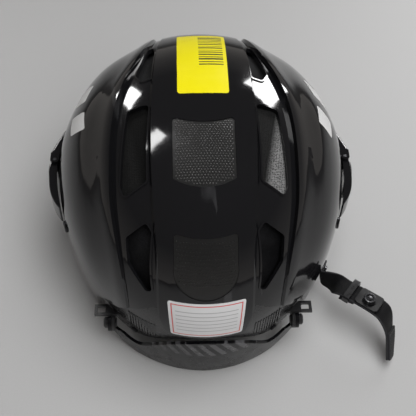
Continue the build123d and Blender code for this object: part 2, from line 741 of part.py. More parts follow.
def build():
    top = pad_top(channel_depth + liner_gap)
    pieces = {
        "main_shell": main_shell, "rear_base": rear_base, "occipital_cradle": cradle,
        "upper_inset_plate": lambda: plate_blank(True, -plate_gap, 0),
        "lower_inset_plate": lambda: plate_blank(False, -plate_gap, 0),
        "front_foam": lambda: foam(even(-4, 38, 5), always((-50, 50)), 9),
        "crown_foam": lambda: foam(even(42, 126, 9), always((-34, 34)), 9, seat_gap),
        "right_side_foam": side_foam, "left_side_foam": lambda: mirror(side_foam(), Plane.YZ),
        "rear_foam": rear_foam,
        "brow_pad": lambda: cushion(even(-2, 30, 7), always((-46, 46)), top, pad_thick),
        "crown_pad": lambda: cushion(even(58, 106, 7), always((-24, 24)), top, pad_thick),
        "right_temple_pad": temple_pad, "left_temple_pad": lambda: mirror(temple_pad(), Plane.YZ),
        "rear_pad": rear_pad, "cradle_pad": cradle_pad,
        "temple_nuts": lambda: nuts(0, 2), "forehead_nuts": lambda: nuts(2, 3),
        "right_size_latch": latch, "left_size_latch": lambda: mirror(latch(), Plane.YZ),
        "latch_pins": lambda: pair(latch_hinge_pin()), "size_studs": lambda: pair(guide_stud()),
        "base_screws": lambda: pair(base_screw()), "cradle_rivets": lambda: pair(pivot_pin()),
        "right_strap_loop": side_loop, "left_strap_loop": lambda: mirror(side_loop(), Plane.YZ),
        "strap_root": strap_root, "strap_run": strap_run, "strap_tail": strap_tail,
        "strap_slider": strap_slider, "snap_plate": snap_plate, "snap_cap": snap_cap,
        "strap_screw": strap_screw,
    }
    for name, make in pieces.items():
        export_step(make(), f"parts/{name}.step")


if __name__ == "__main__":
    build()
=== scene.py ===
import json
import random
from math import cos, pi, radians, sin
import bpy
from mathutils import Matrix, Vector


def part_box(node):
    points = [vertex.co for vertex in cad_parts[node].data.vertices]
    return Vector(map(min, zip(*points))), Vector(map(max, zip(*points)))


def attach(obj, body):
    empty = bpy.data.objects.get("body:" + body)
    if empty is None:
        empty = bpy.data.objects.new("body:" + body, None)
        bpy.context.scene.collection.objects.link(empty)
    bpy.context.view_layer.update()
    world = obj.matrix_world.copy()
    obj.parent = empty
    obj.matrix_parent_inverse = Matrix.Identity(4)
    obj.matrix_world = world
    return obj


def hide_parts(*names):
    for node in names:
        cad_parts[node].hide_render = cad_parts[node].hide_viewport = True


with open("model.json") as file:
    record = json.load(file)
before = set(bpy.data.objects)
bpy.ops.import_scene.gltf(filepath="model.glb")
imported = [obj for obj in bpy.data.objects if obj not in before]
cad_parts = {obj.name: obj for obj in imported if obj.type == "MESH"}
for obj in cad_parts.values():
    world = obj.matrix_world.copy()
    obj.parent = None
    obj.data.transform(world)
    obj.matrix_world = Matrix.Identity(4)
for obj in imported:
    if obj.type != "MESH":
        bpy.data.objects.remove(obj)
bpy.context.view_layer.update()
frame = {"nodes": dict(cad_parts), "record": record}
print("frame loaded,", len(frame["nodes"]), "nodes")


def clearPick():
    if bpy.context.object and bpy.context.object.mode != "OBJECT":
        bpy.ops.object.mode_set(mode="OBJECT")
    bpy.ops.object.select_all(action="DESELECT")


def pick(piece):
    clearPick()
    piece.select_set(True)
    bpy.context.view_layer.objects.active = piece


def nodeOf(name):
    return bpy.data.objects[name]


def newGrid(name, columns, rows):
    # a flat sheet one metre wide, to be shaped
    clearPick()
    bpy.ops.mesh.primitive_grid_add(x_subdivisions=columns, y_subdivisions=rows, size=1.0)
    sheet = bpy.context.object
    sheet.name = sheet.data.name = name
    return sheet


def placeCopy(source, name, matrix):
    copy = bpy.data.objects.new(name, source.data.copy())
    bpy.context.scene.collection.objects.link(copy)
    copy.matrix_world = matrix
    return copy


def standAlong(up):
    # the turn that stands a piece up along a direction
    return up.to_track_quat("Z", "Y").to_matrix().to_4x4()


# shader groups

def newGroup(name, inputs, outputs):
    group = bpy.data.node_groups.new(name, "ShaderNodeTree")
    for label, kind, value in inputs:
        made = group.interface.new_socket(label, in_out="INPUT", socket_type=kind)
        if value is not None:
            made.default_value = value
    for label, kind in outputs:
        group.interface.new_socket(label, in_out="OUTPUT", socket_type=kind)
    start = group.nodes.new("NodeGroupInput")
    end = group.nodes.new("NodeGroupOutput")
    return group, start, end


def addNode(tree, kind, settings=None, values=None):
    made = tree.nodes.new(kind)
    for key, value in (settings or {}).items():
        setattr(made, key, value)
    for key, value in (values or {}).items():
        made.inputs[key].default_value = value
    return made


def gradeNode(tree, low, high, outLow=0.0, outHigh=1.0):
    return addNode(tree, "ShaderNodeMapRange", {"clamp": True},
                   {"From Min": low, "From Max": high, "To Min": outLow, "To Max": outHigh})


def makeWearGroup():
    # fine handling marks: smudges and thin scratches, as two masks
    takes = [("Vector", "NodeSocketVector", None), ("Smudge Scale", "NodeSocketFloat", 18.0),
             ("Scratch Scale", "NodeSocketFloat", 60.0)]
    gives = [("Smudge", "NodeSocketFloat"), ("Scratch", "NodeSocketFloat")]
    tree, start, end = newGroup("handlingMarks", takes, gives)
    smudge = addNode(tree, "ShaderNodeTexNoise", values={"Detail": 6.0, "Roughness": 0.62})
    stretch = addNode(tree, "ShaderNodeMapping")
    stretch.inputs["Scale"].default_value = (1.0, 0.12, 0.35)
    stretch.inputs["Rotation"].default_value = (0.4, 0.7, 0.9)
    lines = addNode(tree, "ShaderNodeTexNoise", values={"Detail": 2.0, "Distortion": 0.6})
    thin = gradeNode(tree, 0.66, 0.72)
    spread = gradeNode(tree, 0.38, 0.68)
    link = tree.links.new
    link(start.outputs["Vector"], smudge.inputs["Vector"])
    link(start.outputs["Smudge Scale"], smudge.inputs["Scale"])
    link(start.outputs["Vector"], stretch.inputs["Vector"])
    link(stretch.outputs["Vector"], lines.inputs["Vector"])
    link(start.outputs["Scratch Scale"], lines.inputs["Scale"])
    link(smudge.outputs["Fac"], spread.inputs["Value"])
    link(lines.outputs["Fac"], thin.inputs["Value"])
    link(spread.outputs["Result"], end.inputs["Smudge"])
    link(thin.outputs["Result"], end.inputs["Scratch"])
    return tree


def makeGrainGroup():
    # moulded grain, as a height
    takes = [("Vector", "NodeSocketVector", None), ("Scale", "NodeSocketFloat", 900.0)]
    tree, start, end = newGroup("mouldedGrain", takes, [("Height", "NodeSocketFloat")])
    grain = addNode(tree, "ShaderNodeTexNoise", values={"Detail": 3.0, "Roughness": 0.55})
    tree.links.new(start.outputs["Vector"], grain.inputs["Vector"])
    tree.links.new(start.outputs["Scale"], grain.inputs["Scale"])
    tree.links.new(grain.outputs["Fac"], end.inputs["Height"])
    return tree


wearGroup = makeWearGroup()
grainGroup = makeGrainGroup()


class Finish:
    # a material under construction, with its shader and its coordinates
    def __init__(self, name, colour, roughness, **sockets):
        self.material = bpy.data.materials.new(name)
        self.material.use_nodes = True
        self.tree = self.material.node_tree
        self.shader = self.tree.nodes["Principled BSDF"]
        self.shader.inputs["Base Color"].default_value = (*colour, 1)
        self.shader.inputs["Roughness"].default_value = roughness
        for label, value in sockets.items():
            self.shader.inputs[label.replace("_", " ")].default_value = value
        self.places = self.tree.nodes.new("ShaderNodeTexCoord").outputs["Object"]

    def add(self, kind, settings=None, values=None):
        return addNode(self.tree, kind, settings, values)

    def link(self, source, target):
        self.tree.links.new(source, target)

    def group(self, tree, values=None):
        made = self.tree.nodes.new("ShaderNodeGroup")
        made.node_tree = tree
        for label, value in (values or {}).items():
            made.inputs[label].default_value = value
        self.link(self.places, made.inputs["Vector"])
        return made

    def bump(self, height, strength, distance):
        made = self.add("ShaderNodeBump", values={"Strength": strength, "Distance": distance})
        self.link(height, made.inputs["Height"])
        self.link(made.outputs["Normal"], self.shader.inputs["Normal"])

    def vary(self, mask, socket, low, high):
        self.link(self.graded(mask, 0.0, 1.0, low, high), self.shader.inputs[socket])

    def tint(self, mask, low, high):
        self.link(self.mixed(mask, low, high), self.shader.inputs["Base Color"])

    def graded(self, source, low, high, outLow=0.0, outHigh=1.0):
        made = gradeNode(self.tree, low, high, outLow, outHigh)
        self.link(source, made.inputs["Value"])
        return made.outputs["Result"]

    def worked(self, operation, *parts):
        # one operation on sockets and plain numbers
        made = self.add("ShaderNodeMath", {"operation": operation})
        for place, part in enumerate(parts):
            if isinstance(part, float):
                made.inputs[place].default_value = part
            else:
                self.link(part, made.inputs[place])
        return made.outputs["Value"]

    def product(self, *masks):
        found = masks[0]
        for mask in masks[1:]:
            found = self.worked("MULTIPLY", found, mask)
        return found

    def mixed(self, mask, low, high):
        # low and high are plain colours or sockets
        made = self.add("ShaderNodeMix", {"data_type": "RGBA"})
        for label, colour in (("A", low), ("B", high)):
            if isinstance(colour, tuple):
                made.inputs[label].default_value = (*colour, 1)
            else:
                self.link(colour, made.inputs[label])
        self.link(mask, made.inputs["Factor"])
        return made.outputs["Result"]

    def split(self, source):
        made = self.add("ShaderNodeSeparateXYZ")
        self.link(source, made.inputs["Vector"])
        return made.outputs["X"], made.outputs["Y"], made.outputs["Z"]

    def ownMap(self):
        return self.add("ShaderNodeUVMap", {"uv_map": "UVMap"}).outputs["UV"]

    def sizedMap(self, size):
        # the piece's own map, stretched to a size
        made = self.add("ShaderNodeMapping")
        made.inputs["Scale"].default_value = size
        self.link(self.ownMap(), made.inputs["Vector"])
        return made.outputs["Vector"]

    def texture(self, kind, source, values, settings=None, output="Distance"):
        made = self.add(kind, settings, values)
        self.link(source, made.inputs["Vector"])
        return made.outputs[output]


def windowMask(finish, u, v, left, right, low, high):
    # one inside a rectangle, zero outside it
    return finish.product(finish.worked("GREATER_THAN", u, left), finish.worked("LESS_THAN", u, right),
                          finish.worked("GREATER_THAN", v, low), finish.worked("LESS_THAN", v, high))


def glossFinish():
    finish = Finish("glossShell", (0.0075, 0.0075, 0.0085), 0.07, IOR=1.5)
    marks = finish.group(wearGroup, {"Smudge Scale": 22.0, "Scratch Scale": 85.0})
    finish.vary(marks.outputs["Smudge"], "Roughness", 0.045, 0.11)
    finish.tint(marks.outputs["Scratch"], (0.0075, 0.0075, 0.0085), (0.03, 0.03, 0.032))
    finish.bump(marks.outputs["Scratch"], 0.15, 0.0001)
    return finish.material


def baseFinish():
    finish = Finish("basePlastic", (0.018, 0.018, 0.019), 0.3)
    marks = finish.group(wearGroup, {"Smudge Scale": 30.0, "Scratch Scale": 70.0})
    finish.vary(marks.outputs["Smudge"], "Roughness", 0.24, 0.36)
    grain = finish.group(grainGroup, {"Scale": 1400.0})
    finish.bump(grain.outputs["Height"], 0.12, 0.0001)
    return finish.material


def plateFinish():
    finish = Finish("insetPlate", (0.012, 0.012, 0.012), 0.34)
    grain = finish.group(grainGroup, {"Scale": 1800.0})
    finish.bump(grain.outputs["Height"], 0.2, 0.0001)
    marks = finish.group(wearGroup)
    finish.vary(marks.outputs["Smudge"], "Roughness", 0.28, 0.4)
    return finish.material


def dotHighlightFinish():
    # the plates' raised dots: their light colour is a painted highlight, each dot catching the light, and
    # their roughness varies with handling
    finish = Finish("plateDots", (0.07, 0.068, 0.066), 0.24)
    marks = finish.group(wearGroup)
    finish.tint(marks.outputs["Smudge"], (0.05, 0.049, 0.048), (0.1, 0.098, 0.095))
    finish.vary(marks.outputs["Smudge"], "Roughness", 0.2, 0.32)
    return finish.material


def mattFinish():
    finish = Finish("mattePlastic", (0.018, 0.018, 0.019), 0.34)
    grain = finish.group(grainGroup, {"Scale": 1100.0})
    finish.bump(grain.outputs["Height"], 0.25, 0.0001)
    marks = finish.group(wearGroup, {"Smudge Scale": 26.0})
    finish.vary(marks.outputs["Smudge"], "Roughness", 0.27, 0.42)
    return finish.material


# metres on the cradle's lip; share is how much of a pitch is bar, blur the width of a bar's edge
cradleBars = {"pitch": 0.0085, "slant": 0.55, "share": 0.56, "blur": 0.0004,
              "low": 0.035, "high": 0.0535, "half": 0.052}


def cradleFinish():
    # dark plastic; on its upper lip a plain field of slanted grey bars, broken up by wear
    finish = Finish("cradlePlastic", (0.012, 0.012, 0.013), 0.28, Specular_IOR_Level=0.3)
    x, _, z = finish.split(finish.places)
    half = cradleBars["pitch"] / 2
    fold = finish.worked("PINGPONG", finish.worked("MULTIPLY_ADD", z, cradleBars["slant"], x), half)
    edge = half * cradleBars["share"]
    bars = finish.graded(fold, edge, edge - cradleBars["blur"])
    field = windowMask(finish, finish.worked("ABSOLUTE", x), z, -1.0, cradleBars["half"],
                       cradleBars["low"], cradleBars["high"])
    marks = finish.group(wearGroup, {"Smudge Scale": 75.0})
    worn = finish.graded(marks.outputs["Smudge"], 0.1, 0.55, 0.45, 1.0)
    found = finish.product(field, bars, worn)
    finish.tint(found, (0.005, 0.005, 0.006), (0.1, 0.1, 0.105))
    finish.vary(marks.outputs["Smudge"], "Roughness", 0.2, 0.34)
    grain = finish.group(grainGroup, {"Scale": 1300.0})
    finish.bump(grain.outputs["Height"], 0.12, 0.0001)
    return finish.material


# holes across and along the mesh; low and high are where the painted light turns full, on a line from
# corner to corner, and the last value is the share of the tone left under the painted shade
meshKnit = {"size": (22.0, 60.0, 1.0), "slope": 0.5, "low": 0.72, "high": 0.95, "soiled": 0.04}


def meshFinish(name, tone):
    # open knitted mesh in the vents: threads over dark holes, painted lighter towards one corner as painted
    # light, with painted shade over the rest
    finish = Finish(name, (tone,) * 3, 0.9, Specular_IOR_Level=0.15)
    holes = finish.texture("ShaderNodeTexVoronoi", finish.sizedMap(meshKnit["size"]),
                           {"Scale": 1.0, "Randomness": 0.35})
    u, v, _ = finish.split(finish.ownMap())
    # painted light: a gradient from corner to corner stands in for the light reaching the mesh, and the
    # rest is darkened as painted shade
    corner = finish.worked("MULTIPLY_ADD", v, meshKnit["slope"], u)
    paintedLight = finish.graded(corner, meshKnit["low"], meshKnit["high"], meshKnit["soiled"], 1.0)
    shown = finish.product(finish.graded(holes, 0.25, 0.5), paintedLight)
    finish.tint(shown, (0.004, 0.004, 0.004), (tone,) * 3)
    finish.bump(holes, 0.5, 0.0004)
    return finish.material


def foamFinish():
    finish = Finish("linerFoam", (0.006, 0.006, 0.007), 0.9, Specular_IOR_Level=0.2)
    pores = finish.texture("ShaderNodeTexVoronoi", finish.places, {"Scale": 900.0})
    finish.bump(pores, 0.5, 0.0003)
    marks = finish.group(wearGroup, {"Smudge Scale": 40.0})
    finish.tint(marks.outputs["Smudge"], (0.004, 0.004, 0.0045), (0.01, 0.01, 0.011))
    return finish.material


def clothFinish():
    finish = Finish("padFabric", (0.1, 0.1, 0.108), 0.9, Sheen_Weight=0.4, Sheen_Roughness=0.4)
    weave = finish.texture("ShaderNodeTexVoronoi", finish.places, {"Scale": 750.0})
    finish.tint(finish.graded(weave, 0.1, 0.6), (0.03, 0.03, 0.033), (0.2, 0.2, 0.21))
    finish.bump(weave, 0.6, 0.0004)
    return finish.material


# the strip's own map in millimetres, and how close ribs and warp lie on it
webbingWeave = {"size": (16.0, 116.0, 1.0), "ribs": 0.29, "warp": 0.36, "selvedge": (0.07, 0.03)}


def webbingFinish():
    # woven strap: ribs across it, warp along it, lighter selvedges
    finish = Finish("webbing", (0.004, 0.004, 0.005), 0.75, Sheen_Weight=0.04, Specular_IOR_Level=0.25)
    sized = finish.sizedMap(webbingWeave["size"])
    waves = []
    for scale, way in ((webbingWeave["ribs"], "Y"), (webbingWeave["warp"], "X")):
        values = {"Scale": scale, "Distortion": 0.7, "Detail": 1.5, "Detail Scale": 2.0}
        settings = {"wave_type": "BANDS", "bands_direction": way}
        waves.append(finish.texture("ShaderNodeTexWave", sized, values, settings, "Fac"))
    weave = finish.product(*waves)
    u, _, _ = finish.split(finish.ownMap())
    selvedge = finish.graded(finish.worked("PINGPONG", u, 0.5), *webbingWeave["selvedge"])
    body = finish.mixed(weave, (0.0015, 0.0015, 0.002), (0.008, 0.008, 0.0095))
    finish.tint(selvedge, body, (0.03, 0.03, 0.033))
    finish.bump(weave, 0.7, 0.0003)
    return finish.material


def threadFinish():
    finish = Finish("sewingThread", (0.05, 0.05, 0.053), 0.6, Sheen_Weight=0.2)
    twist = finish.texture("ShaderNodeTexWave", finish.places, {"Scale": 900.0, "Distortion": 0.4},
                           {"bands_direction": "DIAGONAL"}, "Fac")
    finish.tint(twist, (0.03, 0.03, 0.032), (0.08, 0.08, 0.084))
    finish.bump(twist, 0.4, 0.0001)
    return finish.material


def steelFinish():
    # blackened steel, with the metal showing a little where it was handled
    finish = Finish("blackSteel", (0.05, 0.05, 0.053), 0.32, Metallic=0.9)
    marks = finish.group(wearGroup, {"Smudge Scale": 90.0, "Scratch Scale": 240.0})
    finish.vary(marks.outputs["Smudge"], "Roughness", 0.26, 0.44)
    finish.tint(marks.outputs["Scratch"], (0.045, 0.045, 0.048), (0.22, 0.22, 0.22))
    finish.bump(marks.outputs["Scratch"], 0.2, 0.0001)
    return finish.material


def fittingFinish():
    # the strap's own black plastic, smoother than the cradle's
    finish = Finish("strapFitting", (0.006, 0.006, 0.007), 0.34)
    grain = finish.group(grainGroup, {"Scale": 1500.0})
    finish.bump(grain.outputs["Height"], 0.15, 0.0001)
    marks = finish.group(wearGroup, {"Smudge Scale": 60.0, "Scratch Scale": 160.0})
    finish.vary(marks.outputs["Smudge"], "Roughness", 0.26, 0.42)
    finish.tint(marks.outputs["Scratch"], (0.005, 0.005, 0.006), (0.03, 0.03, 0.032))
    return finish.material


finishes = {
    "gloss_shell": glossFinish(), "base_plastic": baseFinish(), "inset_plate": plateFinish(),
    "matte_plastic": mattFinish(), "liner_foam": foamFinish(), "pad_fabric": clothFinish(),
    "webbing": webbingFinish(), "steel": steelFinish(),
}


def paint(piece, material):
    piece.data.materials.clear()
    piece.data.materials.append(material)


slotOf = {row["node"]: row["material_slot"] for row in frame["record"]["subparts"]}
for name in frame["nodes"]:
    paint(nodeOf(name), finishes[slotOf[name]])
paint(nodeOf("occipital_cradle"), cradleFinish())
print("finishes made")


def applyModifier(piece, kind, **settings):
    pick(piece)
    modifier = piece.modifiers.new(kind, kind)
    for key, value in settings.items():
        setattr(modifier, key, value)
    bpy.ops.object.modifier_apply(modifier=modifier.name)


def editAll(piece, *steps):
    # runs edit mode operators on the whole mesh
    pick(piece)
    bpy.ops.object.mode_set(mode="EDIT")
    bpy.ops.mesh.select_all(action="SELECT")
    for step, settings in steps:
        step(**settings)
    bpy.ops.object.mode_set(mode="OBJECT")


def joinPieces(parts, name):
    pick(parts[0])
    for part in parts[1:]:
        part.select_set(True)
    bpy.ops.object.join()
    joined = bpy.context.object
    joined.name = joined.data.name = name
    return joined


def pieceName(node, ending):
    first, *others = node.split("_")
    return first + "".join(word.capitalize() for word in others) + ending


def mergedCopy(node, name):
    source = nodeOf(node)
    piece = bpy.data.objects.new(name, source.data.copy())
    bpy.context.scene.collection.objects.link(piece)
    editAll(piece, (bpy.ops.mesh.remove_doubles, {"threshold": 0.00001}))
    return piece


def surfaceHit(carrier, start, direction):
    hit, place, normal, _ = carrier.ray_cast(Vector(start), Vector(direction))
    return (place, normal) if hit else (None, None)


def smoothBy(piece, degrees):
    # faces outward, and edges sharper than the angle kept
    editAll(piece, (bpy.ops.mesh.normals_make_consistent, {"inside": False}))
    pick(piece)
    bpy.ops.object.shade_smooth_by_angle(angle=radians(degrees))


# labels on the shell

def labelSheet(name, values, carrier):
    # a thin sheet with round corners, laid on the carrier along an axis
    wide, tall, step = values["wide"], values["tall"], values["step"]
    sheet = newGrid(name, int(wide / step), int(tall / step))
    corner, taper, lean = values["corner"], values.get("taper", 0.0), values.get("lean", 0.0)
    for point in sheet.data.vertices:
        x, y = point.co.x * wide, point.co.y * tall
        overX, overY = abs(x) - wide / 2 + corner, abs(y) - tall / 2 + corner
        if overX > 0 and overY > 0:
            reach = max(overX, overY) / Vector((overX, overY)).length
            x -= (1 - reach) * overX * (1 if x > 0 else -1)
            y -= (1 - reach) * overY * (1 if y > 0 else -1)
        x *= 1 + taper * y / tall
        point.co = (x + lean * y, y, 0)
    sheet.rotation_euler = values["turn"]
    sheet.location = values["place"]
    bpy.ops.object.transform_apply(location=True, rotation=True, scale=True)
    axis = values["axis"]
    applyModifier(sheet, "SHRINKWRAP", target=carrier, wrap_method="PROJECT", offset=values["lift"],
                  use_project_x=axis == "X", use_project_y=axis == "Y", use_project_z=axis == "Z",
                  use_negative_direction=True, use_positive_direction=True)
    applyModifier(sheet, "SOLIDIFY", thickness=values["thick"], offset=1.0)
    smoothBy(sheet, 40)
    return sheet


labelStock = {"step": 0.001, "lift": 0.00005, "thick": 0.00015}
topLabel = {**labelStock, "wide": 0.036, "tall": 0.08, "corner": 0.0022,
            "turn": (0, 0, 0), "place": (0.0005, 0.0445, 0.2), "axis": "Z"}
# shares of the label's width and height
topLabelBars = {"first": 0.37, "last": 0.96, "left": 0.44, "right": 0.93, "seed": 7, "count": 15,
                "thin": 0.25, "thick": 0.7}
backLabel = {**labelStock, "wide": 0.051, "tall": 0.033, "corner": 0.0018,
             "turn": (radians(90), 0, 0), "place": (0.0005, -0.16, 0.0835), "axis": "Y", "taper": 0.07}
# shares again: the windows as left, right, low and high, and the ruled lines
backLabelFrame = {"outer": (0.035, 0.965, 0.055, 0.945), "inner": (0.05, 0.95, 0.078, 0.922),
                  "field": (0.09, 0.91, 0.14, 0.86), "rulePitch": 0.055, "rule": (0.012, 0.006)}


def yellowFinish():
    # bright label stock with a field of plain bars
    finish = Finish("yellowLabel", (0.95, 0.84, 0.0), 0.38, Specular_IOR_Level=0.2)
    u, v, _ = finish.split(finish.ownMap())
    bars = finish.add("ShaderNodeValToRGB")
    ramp = bars.color_ramp
    ramp.interpolation = "CONSTANT"
    dice = random.Random(topLabelBars["seed"])
    spots, place = [], topLabelBars["first"]
    pitch = (topLabelBars["last"] - topLabelBars["first"]) / topLabelBars["count"]
    for _ in range(topLabelBars["count"]):
        width = pitch * dice.uniform(topLabelBars["thin"], topLabelBars["thick"])
        spots += [(place, 1.0), (place + width, 0.0)]
        place += pitch
    ramp.elements[0].position, ramp.elements[0].color = 0.0, (0, 0, 0, 1)
    ramp.elements[1].position, ramp.elements[1].color = spots[0][0], (1, 1, 1, 1)
    for spot, shade in spots[1:]:
        made = ramp.elements.new(spot)
        made.color = (shade, shade, shade, 1)
    finish.link(v, bars.inputs["Fac"])
    field = windowMask(finish, u, v, topLabelBars["left"], topLabelBars["right"], 0.0, topLabelBars["last"])
    finish.tint(finish.product(field, bars.outputs["Color"]), (0.95, 0.84, 0.0), (0.02, 0.02, 0.015))
    marks = finish.group(wearGroup, {"Smudge Scale": 60.0})
    finish.vary(marks.outputs["Smudge"], "Roughness", 0.32, 0.45)
    return finish.material


def whiteFinish():
    # white label stock with a thin red frame and pale ruled lines
    finish = Finish("whiteLabel", (0.78, 0.78, 0.79), 0.4)
    u, v, _ = finish.split(finish.ownMap())
    outer, inner, field = [windowMask(finish, u, v, *backLabelFrame[part])
                           for part in ("outer", "inner", "field")]
    frameMask = finish.worked("SUBTRACT", outer, inner)
    lines = finish.worked("PINGPONG", v, backLabelFrame["rulePitch"])
    rules = finish.graded(lines, *backLabelFrame["rule"])
    paper = finish.mixed(finish.product(field, rules), (0.78, 0.78, 0.79), (0.42, 0.42, 0.43))
    finish.tint(frameMask, paper, (0.68, 0.11, 0.1))
    marks = finish.group(wearGroup, {"Smudge Scale": 60.0})
    finish.vary(marks.outputs["Smudge"], "Roughness", 0.34, 0.5)
    return finish.material


def markFinish():
    # plain white film
    finish = Finish("sideMark", (0.72, 0.72, 0.72), 0.35)
    marks = finish.group(wearGroup, {"Smudge Scale": 50.0})
    finish.tint(marks.outputs["Scratch"], (0.72, 0.72, 0.72), (0.4, 0.4, 0.4))
    finish.vary(marks.outputs["Smudge"], "Roughness", 0.3, 0.45)
    return finish.material


sideMark = {**labelStock, "wide": 0.017, "tall": 0.013, "corner": 0.0015, "thick": 0.00012,
            "axis": "X", "lean": 0.35}
sideMarkPlaces = {"out": 0.15, "places": ((0.036, 0.1335), (0.007, 0.1355))}


def markBlocks(side):
    # two slanted blocks, as one piece
    blocks = []
    for y, z in sideMarkPlaces["places"]:
        values = {**sideMark, "turn": (radians(90), 0, side * radians(90)),
                  "place": (side * sideMarkPlaces["out"], y, z)}
        blocks.append(labelSheet("sideMark", values, shell))
    return joinPieces(blocks, "rightMarks" if side > 0 else "leftMarks")


shell = nodeOf("main_shell")
for name, values, finish in (("topLabel", topLabel, yellowFinish()),
                             ("backLabel", backLabel, whiteFinish())):
    sheet = labelSheet(name, values, shell)
    paint(sheet, finish)
    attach(sheet, "helmet")
whiteFilm = markFinish()
for side in (1, -1):
    marks = markBlocks(side)
    paint(marks, whiteFilm)
    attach(marks, "helmet")
print("labels laid")


# raised dots of the inset plates

# metres; chamfer is a share of the rise, rowShare how close rows stand, far where the casting starts
dotValues = {"pitch": 0.0021, "radius": 0.0008, "top": 0.00048, "rise": 0.0004, "chamfer": 0.3, "sides": 8,
             "margin": 0.0013, "columns": 11, "rowShare": 0.866, "far": 0.3, "level": 0.9}
# the plate, the axis of casting, and where the rows begin and end
dotFields = {"upperPlateDots": ("upper_inset_plate", "Z", -0.085, -0.01),
             "lowerPlateDots": ("lower_inset_plate", "Y", 0.112, 0.14)}


def oneDot(values):
    clearPick()
    bpy.ops.mesh.primitive_cylinder_add(vertices=values["sides"], radius=values["radius"],
                                        depth=values["rise"] * 2, end_fill_type="NGON")
    dot = bpy.context.object
    for point in dot.data.vertices:
        if point.co.z > 0:
            point.co.x *= values["top"] / values["radius"]
            point.co.y *= values["top"] / values["radius"]
    editAll(dot, (bpy.ops.mesh.bevel, {"offset": values["rise"] * values["chamfer"], "segments": 1}))
    return dot


def plateDots(name, node, axis, first, last, values, finish):
    # a staggered field, cast on the plate along an axis
    plate, dot = nodeOf(node), oneDot(values)
    pitch, margin, far = values["pitch"], values["margin"], values["far"]
    reach = values["columns"]

    def cast(x, place):
        if axis == "Z":
            return surfaceHit(plate, (x, place, far), (0, 0, -1))
        return surfaceHit(plate, (x, -far, place), (0, 1, 0))

    found, row, place = [], 0, first
    while place < last:
        shift = pitch / 2 if row % 2 else 0
        for column in range(-reach, reach + 1):
            x = column * pitch + shift
            spot, normal = cast(x, place)
            if spot is None:
                continue
            clear = True
            for aside, ahead in ((margin, 0), (-margin, 0), (0, margin), (0, -margin)):
                other, facing = cast(x + aside, place + ahead)
                clear = clear and other is not None and facing.dot(normal) > values["level"]
            if clear:
                found.append(placeCopy(dot, name, Matrix.Translation(spot) @ standAlong(normal)))
        steep = abs(normal.z if axis == "Z" else normal.y) if spot is not None else 1.0
        place += pitch * values["rowShare"] * steep
        row += 1
    bpy.data.objects.remove(dot)
    dots = joinPieces(found, name)
    bpy.ops.object.transform_apply(location=True, rotation=True, scale=True)
    bpy.ops.object.shade_smooth_by_angle(angle=radians(50))
    paint(dots, finish)
    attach(dots, "helmet")
    return len(found)


# only the upper plate's dots carry the painted highlight; the lower plate's dots keep the plate's own
# finish
for name, finish in (("upperPlateDots", dotHighlightFinish()), ("lowerPlateDots", finishes["inset_plate"])):
    print(name, plateDots(name, *dotFields[name], dotValues, finish))


# foam blocks and pads

# grooves lie every pitchX across and every pitchTurn degrees around, each degree worth perDegree metres;
# the bed under the mid vents is bedMiddle out from the middle, and bedHalf to either side of that
foamValues = {"voxel": 0.0026, "groove": 0.0016, "grooveHalf": 0.0022, "pitchX": 0.027, "startX": 0.0135,
              "pitchTurn": 16.0, "perDegree": 0.0016, "squeeze": 0.7, "inward": -0.45, "outward": 0.6,
              "bed": 0.0007, "bedMiddle": 0.0455, "bedHalf": 0.0155}
earLine = Vector((0, 0.009, 0.0705))   # the line from ear to ear, about which the blocks are laid out


def foamBlock(node, body, values):
    # a moulded block: soft edges, and grooves that part its inner face into cushions
    piece = mergedCopy(node, pieceName(node, "Block"))
    applyModifier(piece, "REMESH", mode="VOXEL", voxel_size=values["voxel"])
    applyModifier(piece, "SMOOTH", factor=0.5, iterations=3)
    normals = [point.normal.copy() for point in piece.data.vertices]
    for point, normal in zip(piece.data.vertices, normals):
        outward = point.co - earLine
        outward.x *= values["squeeze"]
        level = normal.dot(outward.normalized())
        aside = abs(point.co.x)
        if level > values["outward"] and abs(aside - values["bedMiddle"]) < values["bedHalf"]:
            point.co -= normal * values["bed"]   # room for the mesh under the vents
        if level > values["inward"]:
            continue
        turn = (Vector((outward.y, outward.z)).angle_signed(Vector((1, 0)))) * 180 / pi
        fromSide = (aside - values["startX"]) % values["pitchX"] - values["pitchX"] / 2
        fromTurn = turn % values["pitchTurn"] - values["pitchTurn"] / 2
        near = min(abs(fromSide), abs(fromTurn) * values["perDegree"])
        depth = max(0.0, 1 - (near / values["grooveHalf"]) ** 2)
        point.co -= normal * values["groove"] * depth
    pick(piece)
    bpy.ops.object.shade_smooth()
    paint(piece, finishes["liner_foam"])
    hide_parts(node)
    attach(piece, body)
    return piece


# cap is the most that the swelling may shift a place
padValues = {"voxel": 0.0028, "pressure": 4.0, "frames": 20, "cap": 0.0009}


def softPad(node, body, values):
    # a sewn pad, swollen a little by a cloth simulation
    piece = mergedCopy(node, pieceName(node, "Cushion"))
    applyModifier(piece, "REMESH", mode="VOXEL", voxel_size=values["voxel"])
    applyModifier(piece, "SMOOTH", factor=0.5, iterations=4)
    places = [point.co.copy() for point in piece.data.vertices]
    cloth = piece.modifiers.new("Cloth", "CLOTH")
    cloth.settings.use_pressure = True
    cloth.settings.uniform_pressure_force = values["pressure"]
    cloth.settings.effector_weights.gravity = 0
    for step in range(1, values["frames"] + 1):
        bpy.context.scene.frame_set(step)
    pick(piece)
    bpy.ops.object.modifier_apply(modifier="Cloth")
    bpy.context.scene.frame_set(1)
    for point, place in zip(piece.data.vertices, places):
        shift = point.co - place
        if shift.length > values["cap"]:
            point.co = place + shift * (values["cap"] / shift.length)
    applyModifier(piece, "SUBSURF", levels=1, render_levels=1)
    pick(piece)
    bpy.ops.object.shade_smooth()
    paint(piece, finishes["pad_fabric"])
    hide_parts(node)
    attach(piece, body)
    return piece


